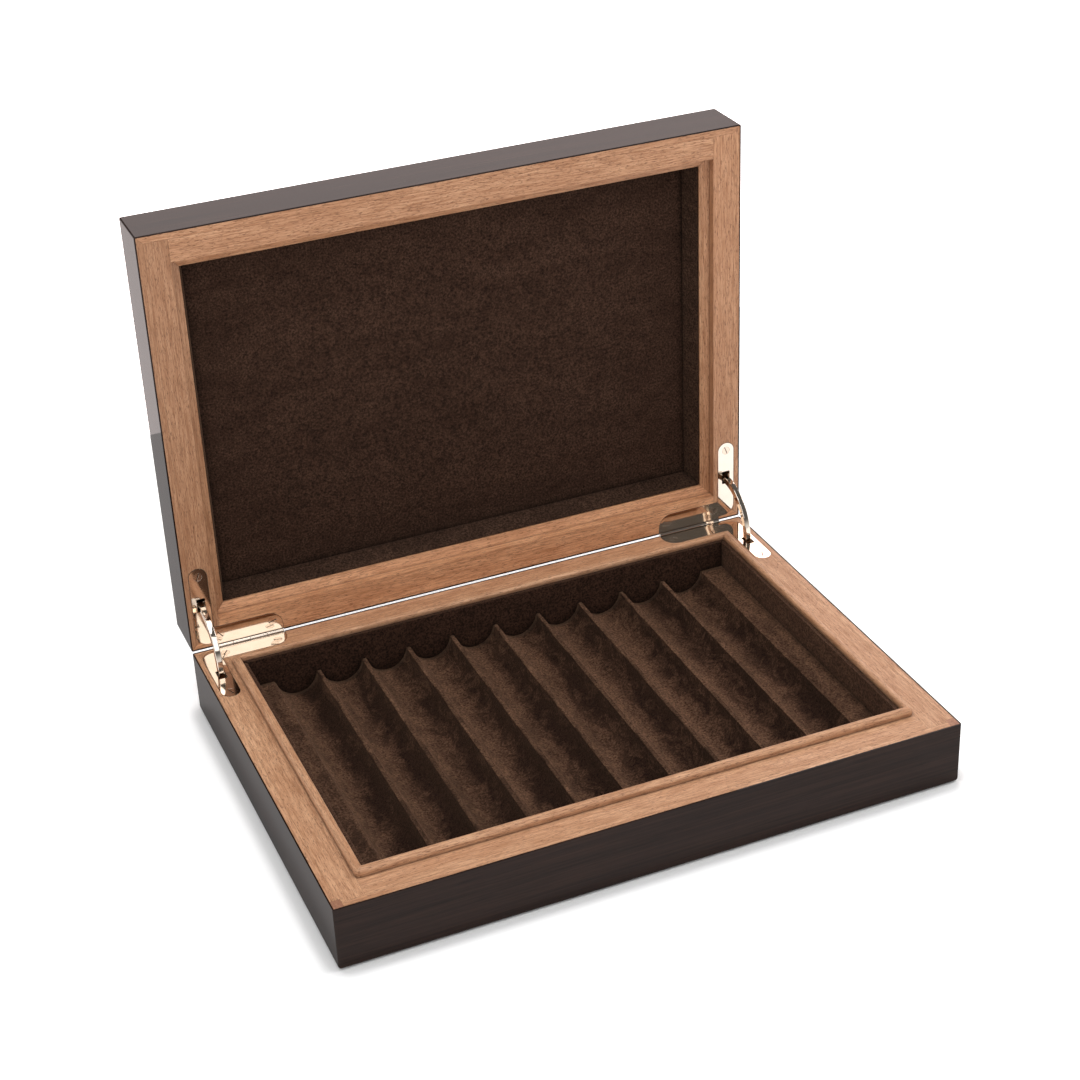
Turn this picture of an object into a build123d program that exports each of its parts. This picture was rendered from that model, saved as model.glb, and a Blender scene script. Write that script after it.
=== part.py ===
from build123d import *
from math import asin, cos, degrees, radians, sin
import os

# Pen collector chest: a shallow hinged case in dark veneer with a light timber rim, a suede-lined
# tray for ten pens and a lid on two quadrant hinges. Millimetres. The origin is at the centre of the
# case's footprint on the table, +X to the right, +Y to the hinged back, +Z up. The lid is modelled
# shut, directly above the base, and then turned open about the hinge axis.

# ---------------------------------------------------------------- outside of the case
WIDTH = 340.0                # across the front
DEPTH = 245.0                # front to hinged back
BASE_HEIGHT = 36.4           # table to base rim
LID_HEIGHT = 31.5            # lid rim to lid top
PARTING_GAP = 0.4            # between the two rims when shut
OPEN_ANGLE = 90.0            # how far the lid is turned open here
EDGE_ROUND = 1.0             # long outer edges and upright corners
BASE_EDGE_ROUND = 2.5        # bottom edge of the base

# ---------------------------------------------------------------- timber layers
VENEER = 0.8                 # dark outer veneer with its lacquer
FACING = 3.5                 # light lamination behind the veneer
RIM_WIDTH = 17.5             # flat rim, outside face to lip
UNDER_WRAP = 20.0            # veneer folded under the base, from the outside face
BOTTOM_THICK = 6.0
TOP_THICK = 7.2
PANEL_LET_IN = 3.0           # bottom and top panels enter the walls by this much
KEY_X = 5.0                  # glued key at each front corner of the base rim
KEY_Y = 6.0
KEY_LENGTH = 20.0

# ---------------------------------------------------------------- lip, linings and lid recess
LIP_WIDTH = 4.5
LIP_HEIGHT = 4.2             # above the base rim
LIP_OUTER_ROUND = 2.4
LIP_INNER_ROUND = 1.6
LIP_CORNER_ROUND = 3.0
LIP_CLEAR = 0.5              # lip to the lid's rebate, all round
LINING_THICK = 2.5           # suede-covered boards inside the lip
LINING_SET_DOWN = 3.0        # crest of the lip to the top of the lining
REBATE_DEPTH = 5.0           # lid rim to the outer edge of the ledge
LEDGE_WIDTH = 5.4
LEDGE_FALL = 2.0             # the ledge slopes this much deeper inwards
BEVEL_START = 8.0            # lid rim to the narrow edge of the suede bevel
BEVEL_EDGE = 0.5             # thickness of that narrow edge
BEVEL_FOOT = 4.1             # thickness of the bevel at the suede panel
LID_RECESS = 21.0            # lid rim to the suede panel
LID_PAD_THICK = 2.5

# ---------------------------------------------------------------- pen tray
PEN_COUNT = 10
PEN_PITCH = 26.5
GROOVE_RADIUS = 12.0
GROOVE_DEPTH = 11.0
RIDGE_ROUND = 1.0
TRAY_TOP = 21.5              # table to the crests of the ridges
TRAY_CLEAR = 0.3             # tray to the linings
SUEDE = 0.8                  # suede glued over the tray former

# ---------------------------------------------------------------- quadrant hinges
AXIS_SETBACK = 0.5           # back face of the case to the hinge axis
LEAF_THICK = 1.8
LEAF_CLEAR = 0.25            # timber mortise around a leaf
LEG_INSET = 8.8              # side of the case to the middle of the side leg
LEG_WIDTH = 10.1
LEG_REACH = 51.2             # hinge axis to the round end of the side leg
LEG_START = 3.0              # hinge axis to the rounded outer corner
OUTER_CORNER_ROUND = 7.0
BACK_LEG_LENGTH = 39.2       # inner edge of the side leg to the end of the back leg
BACK_LEG_WIDTH = 12.5        # hinge axis to the front of the back leg
BACK_CORNER_ROUND = 8.0
INSIDE_CORNER_ROUND = 1.2
BARREL_RADIUS = 1.3
BARREL_CLEAR = 0.25          # timber and the other leaf to the barrel
KNUCKLE_COUNT = 4
KNUCKLE_GAP = 0.2
KNUCKLE_ROOT = 1.0           # how far a knuckle laps on to its plate
PIN_RADIUS = 0.6
PIN_CLEAR = 0.05             # running fit in the knuckles

# ---------------------------------------------------------------- quadrant arms
ARM_INNER_RADIUS = 25.1
ARM_DEPTH = 4.1              # radial
ARM_THICK = 3.2
ARM_HEAD_THICK = 7.0         # tee heads that stop under the leaves
ARM_HEAD_ANGLE = 5.0
STOP_GAP = 0.3               # tee head to the underside of its leaf, lid open
SLOT_WIDTH = 5.0
SLOT_START = 24.2            # hinge axis to the near end of the slot
SLOT_LENGTH = 8.2
SLOT_CORNER_ROUND = 0.6
POCKET_CLEAR = 0.7           # timber pocket around the arm's travel

# ---------------------------------------------------------------- countersunk slotted screws
SCREW_HEAD_RADIUS = 2.4
SCREW_HEAD_DEPTH = 1.1
SCREW_SHANK_RADIUS = 1.1
SCREW_LENGTH = 11.0
SCREW_CLEAR = 0.05
SCREW_SLOT_WIDTH = 0.5
SCREW_SLOT_DEPTH = 0.45
LEG_SCREW_INSET = 5.0        # screw to the round end of the side leg
BACK_SCREW_LINE = 7.5        # hinge axis to the two screws in the back leg
BACK_SCREW_END = 5.7         # end of the back leg to its inner screw
BACK_SCREW_PITCH = 30.3
SCREW_SLOT_ANGLES = (68.0, 15.0, 127.0)

# ---------------------------------------------------------------- places worked out from the above
HALF_X = WIDTH / 2
HALF_Y = DEPTH / 2
CORE_X = HALF_X - VENEER
CORE_Y = HALF_Y - VENEER
WALL_X = CORE_X - FACING
WALL_Y = CORE_Y - FACING
LIP_X = HALF_X - RIM_WIDTH
LIP_Y = HALF_Y - RIM_WIDTH
WELL_X = LIP_X - LIP_WIDTH
WELL_Y = LIP_Y - LIP_WIDTH
TRAY_X = WELL_X - LINING_THICK
TRAY_Y = WELL_Y - LINING_THICK
REBATE_X = LIP_X + LIP_CLEAR
REBATE_Y = LIP_Y + LIP_CLEAR
RECESS_X = REBATE_X - LEDGE_WIDTH
RECESS_Y = REBATE_Y - LEDGE_WIDTH

FLOOR_TOP = VENEER + BOTTOM_THICK
LIP_TOP = BASE_HEIGHT + LIP_HEIGHT
LINING_TOP = LIP_TOP - LINING_SET_DOWN
LID_RIM = BASE_HEIGHT + PARTING_GAP
LID_TOP = LID_RIM + LID_HEIGHT
TOP_PANEL_TOP = LID_TOP - VENEER
TOP_PANEL_LOW = TOP_PANEL_TOP - TOP_THICK
RECESS_FLOOR = LID_RIM + LID_RECESS

AXIS_Y = HALF_Y + AXIS_SETBACK
AXIS_Z = BASE_HEIGHT + PARTING_GAP / 2
HINGE_AXIS = Axis((0, AXIS_Y, AXIS_Z), (1, 0, 0))
PARTING_PLANE = Plane(origin=(0, 0, AXIS_Z), z_dir=(0, 0, 1))

LEG_X = HALF_X - LEG_INSET
LEG_INNER_X = LEG_X - LEG_WIDTH / 2
LEG_OUTER_X = LEG_X + LEG_WIDTH / 2
BACK_LEG_END_X = LEG_INNER_X - BACK_LEG_LENGTH
KNUCKLE_PITCH = BACK_LEG_LENGTH / KNUCKLE_COUNT

ARM_OUTER_RADIUS = ARM_INNER_RADIUS + ARM_DEPTH
HEAD_START = degrees(asin((LEAF_THICK + PARTING_GAP / 2 + STOP_GAP) / ARM_INNER_RADIUS))
ARM_TAIL = HEAD_START + ARM_HEAD_ANGLE
SHUT_REACH = OPEN_ANGLE / 2 + ARM_TAIL

CUT = 5.0                    # how far a cutting tool overshoots the timber
SAME_PLACE = 0.01            # places closer than this count as one


# ---------------------------------------------------------------- helpers
def block(x0, x1, y0, y1, z0, z1):
    """A box between two corners."""
    return Pos((x0 + x1) / 2, (y0 + y1) / 2, (z0 + z1) / 2) * Box(x1 - x0, y1 - y0, z1 - z0)


def slab(half_x, half_y, z0, z1):
    """A box centred on the case, between two heights."""
    return block(-half_x, half_x, -half_y, half_y, z0, z1)


def funnel(half_x0, half_y0, z0, half_x1, half_y1, z1):
    """A four-sided solid that tapers between two centred rectangles."""
    lower = Pos(0, 0, z0) * Rectangle(2 * half_x0, 2 * half_y0)
    upper = Pos(0, 0, z1) * Rectangle(2 * half_x1, 2 * half_y1)
    return loft([lower, upper], ruled=True)


def mitred(frame, half_x, half_y):
    """Cut a four-sided frame along its mitres, which start at the corners (half_x, half_y)."""
    low = frame.bounding_box().min.Z - CUT
    high = frame.bounding_box().max.Z + CUT
    reach = min(half_x, half_y)
    corners = {
        "front": ((-1, -1), (1, -1)),
        "right": ((1, -1), (1, 1)),
        "back": ((1, 1), (-1, 1)),
        "left": ((-1, 1), (-1, -1)),
    }
    pieces = {}
    for side, (first, last) in corners.items():
        outer = [(sx * (half_x + CUT), sy * (half_y + CUT)) for sx, sy in (first, last)]
        inner = [(sx * (half_x - reach), sy * (half_y - reach)) for sx, sy in (last, first)]
        outline = [point for i, point in enumerate(outer + inner) if point not in (outer + inner)[:i]]
        wedge = extrude(Pos(0, 0, low) * make_face(Polyline(*outline, close=True)), high - low)
        pieces[side] = frame & wedge
    return pieces


def top_edges(part, z, half_x, half_y):
    """Edges at one height whose middles lie on or inside a centred rectangle."""
    return [
        edge
        for edge in part.edges()
        if abs(edge.center().Z - z) < SAME_PLACE
        and abs(edge.center().X) < half_x + SAME_PLACE
        and abs(edge.center().Y) < half_y + SAME_PLACE
    ]


def both_sides(part):
    """The part and its mirror image on the left."""
    return {"right": part, "left": part.mirror(Plane.YZ)}


def opened(part):
    """Turn a lid piece from shut to its open place."""
    return part.rotate(HINGE_AXIS, -OPEN_ANGLE)


# ---------------------------------------------------------------- case walls
def butted_walls(half_x, half_y, z0, z1):
    """Side walls run from front to back, and the front and back walls stand between them."""
    return {
        "front": block(-half_x, half_x, -WALL_Y, -half_y, z0, z1),
        "back": block(-half_x, half_x, half_y, WALL_Y, z0, z1),
        "left": block(-WALL_X, -half_x, -WALL_Y, WALL_Y, z0, z1),
        "right": block(half_x, WALL_X, -WALL_Y, WALL_Y, z0, z1),
    }


def facings(z0, z1):
    """The light lamination between the walls and the veneer."""
    layer = slab(CORE_X, CORE_Y, z0, z1) - slab(WALL_X, WALL_Y, z0 - CUT, z1 + CUT)
    return mitred(layer, CORE_X, CORE_Y)


def base_skin():
    """Veneer round the base, folded under its rounded bottom edge."""
    shell = slab(HALF_X, HALF_Y, 0, BASE_HEIGHT)
    shell = fillet(shell.edges().filter_by(Axis.Z), EDGE_ROUND)
    shell = fillet(shell.edges().group_by(Axis.Z)[0], BASE_EDGE_ROUND)
    core = slab(CORE_X, CORE_Y, VENEER, BASE_HEIGHT + CUT)
    core = fillet(core.edges().group_by(Axis.Z)[0], BASE_EDGE_ROUND - VENEER)
    opening = slab(HALF_X - UNDER_WRAP, HALF_Y - UNDER_WRAP, -CUT, BASE_HEIGHT)
    return mitred(shell - core - opening, HALF_X, HALF_Y)


def lid_skin():
    """Veneer round the lid's four sides, with the rounded upper edge."""
    shell = slab(HALF_X, HALF_Y, LID_RIM, LID_TOP)
    shell = fillet(shell.edges().filter_by(Axis.Z), EDGE_ROUND)
    shell = fillet(shell.edges().group_by(Axis.Z)[-1], EDGE_ROUND)
    return mitred(shell - slab(CORE_X, CORE_Y, LID_RIM - CUT, LID_TOP + CUT), HALF_X, HALF_Y)


def rounded_core(part):
    """Round the lower outer edges of a base layer so that the folded veneer fits round it."""
    core = slab(CORE_X, CORE_Y, VENEER, BASE_HEIGHT)
    return part & fillet(core.edges().group_by(Axis.Z)[0], BASE_EDGE_ROUND - VENEER)


def corner_keys():
    """Two glued keys that show at the front corners of the base rim, just inside the veneer."""
    low = BASE_HEIGHT - KEY_LENGTH
    key = block(CORE_X - KEY_X, CORE_X, -CORE_Y, -CORE_Y + KEY_Y, low, BASE_HEIGHT)
    return key + key.mirror(Plane.YZ)


# ---------------------------------------------------------------- lip, linings, lid frames
def lips():
    """Rounded lip round the well, standing on the bottom panel."""
    crest = slab(LIP_X, LIP_Y, BASE_HEIGHT, LIP_TOP)
    crest = fillet(crest.edges().filter_by(Axis.Z), LIP_CORNER_ROUND)
    crest = fillet(crest.edges().group_by(Axis.Z)[-1], LIP_OUTER_ROUND)
    crest -= slab(WELL_X, WELL_Y, BASE_HEIGHT - CUT, LIP_TOP + CUT)
    crest = fillet(top_edges(crest, LIP_TOP, WELL_X, WELL_Y), LIP_INNER_ROUND)
    stem = slab(LIP_X, LIP_Y, FLOOR_TOP, BASE_HEIGHT)
    stem -= slab(WELL_X, WELL_Y, FLOOR_TOP - CUT, BASE_HEIGHT + CUT)
    return mitred(stem + crest, LIP_X, LIP_Y)


def linings():
    """Suede-covered boards inside the lip."""
    frame = slab(WELL_X, WELL_Y, FLOOR_TOP, LINING_TOP)
    frame -= slab(TRAY_X, TRAY_Y, FLOOR_TOP - CUT, LINING_TOP + CUT)
    return mitred(frame, WELL_X, WELL_Y)


def lid_ledges():
    """Sloping timber ledge that closes over the lip."""
    frame = slab(REBATE_X, REBATE_Y, LID_RIM + REBATE_DEPTH, TOP_PANEL_LOW)
    frame -= slab(RECESS_X, RECESS_Y, LID_RIM, TOP_PANEL_LOW + CUT)
    outer_z = LID_RIM + REBATE_DEPTH
    frame -= funnel(REBATE_X, REBATE_Y, outer_z, RECESS_X, RECESS_Y, outer_z + LEDGE_FALL)
    return mitred(frame, REBATE_X, REBATE_Y)


def lid_bevels():
    """Suede-covered bevels that narrow towards the lid rim."""
    start = LID_RIM + BEVEL_START
    frame = slab(RECESS_X, RECESS_Y, start, RECESS_FLOOR)
    mouth = (RECESS_X - BEVEL_EDGE, RECESS_Y - BEVEL_EDGE, start)
    foot = (RECESS_X - BEVEL_FOOT, RECESS_Y - BEVEL_FOOT, RECESS_FLOOR)
    frame -= funnel(*mouth, *foot)
    return mitred(frame, RECESS_X, RECESS_Y)


def tray_profile(inset):
    """Section of the tray across the pens, drawn inset under its finished surface."""
    half = TRAY_X - TRAY_CLEAR
    top = TRAY_TOP - inset
    body = Pos(0, (FLOOR_TOP + top) / 2) * Rectangle(2 * half, top - FLOOR_TOP)
    centre_z = TRAY_TOP - GROOVE_DEPTH + GROOVE_RADIUS
    for i in range(PEN_COUNT):
        x = (i - (PEN_COUNT - 1) / 2) * PEN_PITCH
        body -= Pos(x, centre_z) * Circle(GROOVE_RADIUS + inset)
    return body


def tray_length(profile):
    """Run a tray section from the front lining to the back lining."""
    half = TRAY_Y - TRAY_CLEAR
    section = Plane(origin=(0, half, 0), x_dir=(1, 0, 0), z_dir=(0, -1, 0)) * profile
    return extrude(section, 2 * half)


def tray():
    """The grooved former and the suede glued over it."""
    surface = tray_profile(0)
    outermost = PEN_COUNT * PEN_PITCH / 2
    crests = [v for v in surface.vertices() if abs(v.Y - TRAY_TOP) < SAME_PLACE and abs(v.X) < outermost]
    surface = fillet(crests, RIDGE_ROUND)
    former = tray_profile(SUEDE)
    return tray_length(former), tray_length(surface - former)


# ---------------------------------------------------------------- hinges
def leaf_plane(z):
    """Plan view of a hinge: x along the case, y forward from the hinge axis."""
    return Plane(origin=(0, AXIS_Y, z), x_dir=(1, 0, 0), z_dir=(0, 0, -1))


def leaf_outline():
    """L-shaped outline of the right leaf."""
    round_end = LEG_REACH - LEG_WIDTH / 2
    corners = {
        "end": (BACK_LEG_END_X, BACK_LEG_WIDTH),
        "inside": (LEG_INNER_X, BACK_LEG_WIDTH),
        "outer": (LEG_OUTER_X, LEG_START),
    }
    outline = make_face(
        Polyline(
            (BACK_LEG_END_X, 0),
            corners["end"],
            corners["inside"],
            (LEG_INNER_X, round_end),
            (LEG_OUTER_X, round_end),
            corners["outer"],
            (LEG_INNER_X, LEG_START),
            (LEG_INNER_X, 0),
            close=True,
        )
    )
    rounds = {"end": BACK_CORNER_ROUND, "inside": INSIDE_CORNER_ROUND, "outer": OUTER_CORNER_ROUND}
    for name, radius in rounds.items():
        x, y = corners[name]
        corner = min(outline.vertices(), key=lambda v: abs(v.X - x) + abs(v.Y - y))
        outline = fillet(corner, radius)
    return outline + Pos(LEG_X, round_end) * Circle(LEG_WIDTH / 2)


def screw_places():
    """The three screws of the right leaf, as (x, distance from the hinge axis)."""
    inner_x = BACK_LEG_END_X + BACK_SCREW_END
    return (
        (LEG_X, LEG_REACH - LEG_SCREW_INSET),
        (inner_x, BACK_SCREW_LINE),
        (inner_x + BACK_SCREW_PITCH, BACK_SCREW_LINE),
    )


def screw_blank(grow):
    """Countersunk head and shank, pointing down from z = 0 and grown all round for its hole."""
    head_low = -SCREW_HEAD_DEPTH
    head = Pos(0, 0, head_low / 2) * Cone(
        SCREW_SHANK_RADIUS + grow, SCREW_HEAD_RADIUS + grow, SCREW_HEAD_DEPTH
    )
    length = SCREW_LENGTH + grow
    return head + Pos(0, 0, -length / 2) * Cylinder(SCREW_SHANK_RADIUS + grow, length)


def screw(angle):
    """One screw with its slot turned to an angle."""
    slot = Box(3 * SCREW_HEAD_RADIUS, SCREW_SLOT_WIDTH, 2 * SCREW_SLOT_DEPTH)
    return screw_blank(0) - Rot(0, 0, angle) * slot


def leaf_screws():
    """The three screws of the right base leaf, flush with it."""
    screws = [
        Pos(x, AXIS_Y - reach, BASE_HEIGHT) * screw(angle)
        for (x, reach), angle in zip(screw_places(), SCREW_SLOT_ANGLES)
    ]
    return screws[0] + screws[1] + screws[2]


def barrel(radius, x0, x1):
    """A round bar on the hinge axis between two places along it."""
    return Pos((x0 + x1) / 2, AXIS_Y, AXIS_Z) * Rot(0, 90, 0) * Cylinder(radius, x1 - x0)


def knuckle_spans(first):
    """Every second knuckle along the barrel, from the end of the back leg outwards."""
    return [
        (BACK_LEG_END_X + i * KNUCKLE_PITCH, BACK_LEG_END_X + (i + 1) * KNUCKLE_PITCH)
        for i in range(first, KNUCKLE_COUNT, 2)
    ]


def leaf(first_knuckle):
    """Right base leaf: plate, its knuckles, the arm's slot and the countersinks."""
    plate = extrude(leaf_plane(BASE_HEIGHT) * leaf_outline(), LEAF_THICK)
    plate -= barrel(BARREL_RADIUS + BARREL_CLEAR, BACK_LEG_END_X - CUT, LEG_INNER_X)
    for x0, x1 in knuckle_spans(first_knuckle):
        low, high = x0 + KNUCKLE_GAP / 2, x1 - KNUCKLE_GAP / 2
        reach = BARREL_RADIUS + BARREL_CLEAR + KNUCKLE_ROOT
        plate += barrel(BARREL_RADIUS, low, high)
        plate += block(low, high, AXIS_Y - reach, AXIS_Y, BASE_HEIGHT - LEAF_THICK, BASE_HEIGHT)
    plate -= barrel(PIN_RADIUS + PIN_CLEAR, BACK_LEG_END_X - CUT, LEG_INNER_X + CUT)
    slot_middle = SLOT_START + SLOT_LENGTH / 2
    slot = Pos(LEG_X, slot_middle) * RectangleRounded(SLOT_WIDTH, SLOT_LENGTH, SLOT_CORNER_ROUND)
    plate -= extrude(leaf_plane(BASE_HEIGHT + CUT) * slot, 2 * CUT)
    for x, reach in screw_places():
        plate -= Pos(x, AXIS_Y - reach, BASE_HEIGHT) * screw_blank(SCREW_CLEAR)
    return plate


def arm_plane():
    """Plane across the hinge axis at the right arm, with angles from forward towards up."""
    return Plane(origin=(LEG_X, AXIS_Y, AXIS_Z), x_dir=(0, -1, 0), z_dir=(-1, 0, 0))


def sector(inner, outer, start, stop):
    """Ring sector between two radii and two angles in degrees."""
    far = CenterArc((0, 0), outer, start, stop - start)
    near = CenterArc((0, 0), inner, start, stop - start)
    return make_face([far, near, Line(near @ 0, far @ 0), Line(near @ 1, far @ 1)])


def arm():
    """Right quadrant arm with a tee head under each leaf, midway between base and lid."""
    first, last = -ARM_TAIL, OPEN_ANGLE + ARM_TAIL
    spans = (
        (first, last, ARM_THICK),
        (first, first + ARM_HEAD_ANGLE, ARM_HEAD_THICK),
        (last - ARM_HEAD_ANGLE, last, ARM_HEAD_THICK),
    )
    parts = [
        extrude(arm_plane() * sector(ARM_INNER_RADIUS, ARM_OUTER_RADIUS, start, stop), thick / 2, both=True)
        for start, stop, thick in spans
    ]
    return parts[0] + parts[1] + parts[2]


def hinge_cutter():
    """What the right base leaf, its barrel, arm and screws need cut from the timber."""
    grown = offset(leaf_outline(), LEAF_CLEAR, kind=Kind.ARC)
    edge_strip = Rectangle(BACK_LEG_LENGTH + 2 * LEAF_CLEAR, 2 * CUT)
    grown += Pos((BACK_LEG_END_X + LEG_INNER_X) / 2, 0) * edge_strip
    cutter = extrude(leaf_plane(BASE_HEIGHT + CUT) * grown, CUT + LEAF_THICK)
    timber_end_y = AXIS_Y - LEG_START + LEAF_CLEAR
    cutter -= block(LEG_INNER_X + LEAF_CLEAR, HALF_X + CUT, timber_end_y, HALF_Y + CUT, 0, LID_TOP)
    pocket_half = ARM_HEAD_THICK / 2 + POCKET_CLEAR
    near = ARM_INNER_RADIUS * cos(radians(SHUT_REACH)) - POCKET_CLEAR
    far = max(ARM_OUTER_RADIUS, SLOT_START + SLOT_LENGTH) + POCKET_CLEAR
    low = AXIS_Z - ARM_OUTER_RADIUS * sin(radians(SHUT_REACH)) - POCKET_CLEAR
    across = (LEG_X - pocket_half, LEG_X + pocket_half)
    cutter += block(*across, AXIS_Y - far, AXIS_Y - near, low, BASE_HEIGHT + CUT)
    cutter += barrel(BARREL_RADIUS + BARREL_CLEAR, BACK_LEG_END_X - LEAF_CLEAR, LEG_INNER_X + LEAF_CLEAR)
    for x, reach in screw_places():
        cutter += Pos(x, AXIS_Y - reach, BASE_HEIGHT) * screw_blank(SCREW_CLEAR)
    return cutter


# ---------------------------------------------------------------- assembly
def base_nodes(cutters):
    """Every fixed piece of the base, by name."""
    nodes = {}
    keys = corner_keys()
    bottom = slab(LIP_X + PANEL_LET_IN, LIP_Y + PANEL_LET_IN, VENEER, FLOOR_TOP)
    for side, wall in butted_walls(LIP_X, LIP_Y, VENEER, BASE_HEIGHT).items():
        nodes[f"base_{side}_wall"] = wall - bottom - keys
    for side, facing in facings(VENEER, BASE_HEIGHT).items():
        nodes[f"base_{side}_facing"] = rounded_core(facing) - keys
    for side, veneer in base_skin().items():
        nodes[f"base_{side}_veneer"] = veneer
    for name in list(nodes):
        for side, cutter in cutters.items():
            if side in name or "back" in name:
                nodes[name] = nodes[name] - cutter
    nodes["base_corner_keys"] = keys
    nodes["base_bottom_panel"] = bottom
    nodes["base_felt"] = slab(HALF_X - UNDER_WRAP, HALF_Y - UNDER_WRAP, 0, VENEER)
    for side, lip in lips().items():
        nodes[f"base_{side}_lip"] = lip
    for side, lining in linings().items():
        nodes[f"base_{side}_lining"] = lining
    nodes["tray_former"], nodes["tray_suede"] = tray()
    return nodes


def lid_nodes(cutters):
    """Every fixed piece of the lid, by name, still shut."""
    nodes = {}
    panel = slab(REBATE_X + PANEL_LET_IN, REBATE_Y + PANEL_LET_IN, TOP_PANEL_LOW, TOP_PANEL_TOP)
    for side, wall in butted_walls(REBATE_X, REBATE_Y, LID_RIM, TOP_PANEL_TOP).items():
        nodes[f"lid_{side}_wall"] = wall - panel
    for side, facing in facings(LID_RIM, TOP_PANEL_TOP).items():
        nodes[f"lid_{side}_facing"] = facing
    for side, veneer in lid_skin().items():
        nodes[f"lid_{side}_veneer"] = veneer
    for name in list(nodes):
        for side, cutter in cutters.items():
            if side in name or "back" in name:
                nodes[name] = nodes[name] - cutter.mirror(PARTING_PLANE)
    nodes["lid_top_panel"] = panel
    nodes["lid_top_veneer"] = slab(CORE_X, CORE_Y, TOP_PANEL_TOP, LID_TOP)
    for side, ledge in lid_ledges().items():
        nodes[f"lid_{side}_ledge"] = ledge
    for side, bevel in lid_bevels().items():
        nodes[f"lid_{side}_bevel"] = bevel
    nodes["lid_suede_panel"] = slab(RECESS_X, RECESS_Y, RECESS_FLOOR, RECESS_FLOOR + LID_PAD_THICK)
    return nodes


def hinge_nodes():
    """Leaves, pins, arms and screws: base pieces in place, lid pieces still shut."""
    fixed, moving = {}, {}
    pin = barrel(PIN_RADIUS, BACK_LEG_END_X, LEG_INNER_X)
    screws = leaf_screws()
    for side, shape in both_sides(leaf(1)).items():
        fixed[f"{side}_base_leaf"] = shape
    for side, shape in both_sides(pin).items():
        fixed[f"{side}_hinge_pin"] = shape
    for side, shape in both_sides(arm()).items():
        fixed[f"{side}_quadrant_arm"] = shape
    for side, shape in both_sides(leaf(0)).items():
        moving[f"{side}_lid_leaf"] = shape.mirror(PARTING_PLANE)
    fixed["base_leaf_screws"] = screws + screws.mirror(Plane.YZ)
    moving["lid_leaf_screws"] = fixed["base_leaf_screws"].mirror(PARTING_PLANE)
    return fixed, moving


def main():
    cutters = both_sides(hinge_cutter())
    fixed, moving = hinge_nodes()
    nodes = {**base_nodes(cutters), **fixed}
    for name, shape in {**lid_nodes(cutters), **moving}.items():
        nodes[name] = opened(shape)
    os.makedirs("parts", exist_ok=True)
    for name, shape in nodes.items():
        shape.label = name
        export_step(shape, f"parts/{name}.step")
    print(len(nodes), "nodes written")


main()
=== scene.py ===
import math

import bpy
from mathutils import Matrix, Vector, noise


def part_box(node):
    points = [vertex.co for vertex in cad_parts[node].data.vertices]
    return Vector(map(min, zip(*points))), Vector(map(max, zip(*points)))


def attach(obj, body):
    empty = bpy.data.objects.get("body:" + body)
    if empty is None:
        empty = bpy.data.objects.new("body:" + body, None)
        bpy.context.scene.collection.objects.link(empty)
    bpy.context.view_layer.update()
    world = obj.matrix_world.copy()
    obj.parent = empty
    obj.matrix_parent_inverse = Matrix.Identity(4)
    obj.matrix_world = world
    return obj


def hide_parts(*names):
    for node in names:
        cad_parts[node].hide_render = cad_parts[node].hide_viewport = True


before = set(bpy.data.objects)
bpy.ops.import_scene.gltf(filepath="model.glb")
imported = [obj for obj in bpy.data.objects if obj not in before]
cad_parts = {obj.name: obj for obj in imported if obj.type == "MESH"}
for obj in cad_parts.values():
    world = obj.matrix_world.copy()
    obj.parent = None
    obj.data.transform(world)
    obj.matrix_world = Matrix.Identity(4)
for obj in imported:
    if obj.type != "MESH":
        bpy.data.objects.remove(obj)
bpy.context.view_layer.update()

# Everything is in metres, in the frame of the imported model: origin at the centre of the case's
# footprint, +X to the right, +Y to the hinged back, +Z up. The lid stands open at a right angle.
MM = 0.001

# ---------------------------------------------------------------- camera, as the photograph was taken
CAMERA_PLACE = (-0.36963, -0.89854, 0.68383)
CAMERA_RIGHT = (0.91870, -0.39300, -0.03960)
CAMERA_UP = (0.22710, 0.44370, 0.86690)
LENS_MM = 72.87
SENSOR_MM = 36.0
CLIP_NEAR = 0.01
CLIP_FAR = 50

# ---------------------------------------------------------------- studio
WHITE = (1.0, 1.0, 1.0)
WARM_WHITE = (1.0, 0.88, 0.86)

FLOOR_SIZE = 16.0
BACKDROP_EDGE_Y = 0.470      # the bright backdrop starts this far behind the middle of the case
BACKDROP_GLOW = 2.0
FLOOR_GLOW = 0.30
FAR_FLOOR_GLOW = 0.68
NEAR_FLOOR = 0.6             # distance from the middle of the case at which the glow starts to rise
FAR_FLOOR = 2.4              # and at which it has risen
PAINTED_SHADOW_REACH = 0.010        # the floor's glow carries a painted contact shadow this near to the case
PAINTED_SHADOW_DARK = 0.76          # openness of the floor at which the painted shadow is full
PAINTED_SHADOW_CLEAR = 0.98         # and at which it ends

SKY_LEVEL = 0.11
HORIZON_LEVEL = 0.88         # the surroundings are pale near the horizon and darker overhead
HORIZON_BAND = 0.34          # sine of the elevation by which they have darkened

# Name, place, target, width and height, power in watts, colour.
SOFTBOXES = (
    ("overhead_softbox", (-0.25, 0.05, 1.50), (-0.1, 0.0, 0.0), (1.2, 1.0), 11.0, WHITE),
    ("rear_softbox", (0.55, 1.35, 1.15), (0.0, 0.1, 0.2), (1.8, 0.9), 15.5, WARM_WHITE),
    ("right_softbox", (1.35, -0.15, 1.05), (0.0, 0.0, 0.1), (0.9, 0.9), 12.0, WHITE),
    ("left_softbox", (-1.3, -0.1, 1.20), (0.0, 0.0, 0.0), (0.9, 0.9), 5.0, WHITE),
    ("front_softbox", (-0.2, -1.45, 1.35), (0.0, 0.0, 0.12), (1.8, 1.15), 10.5, WHITE),
)

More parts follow.
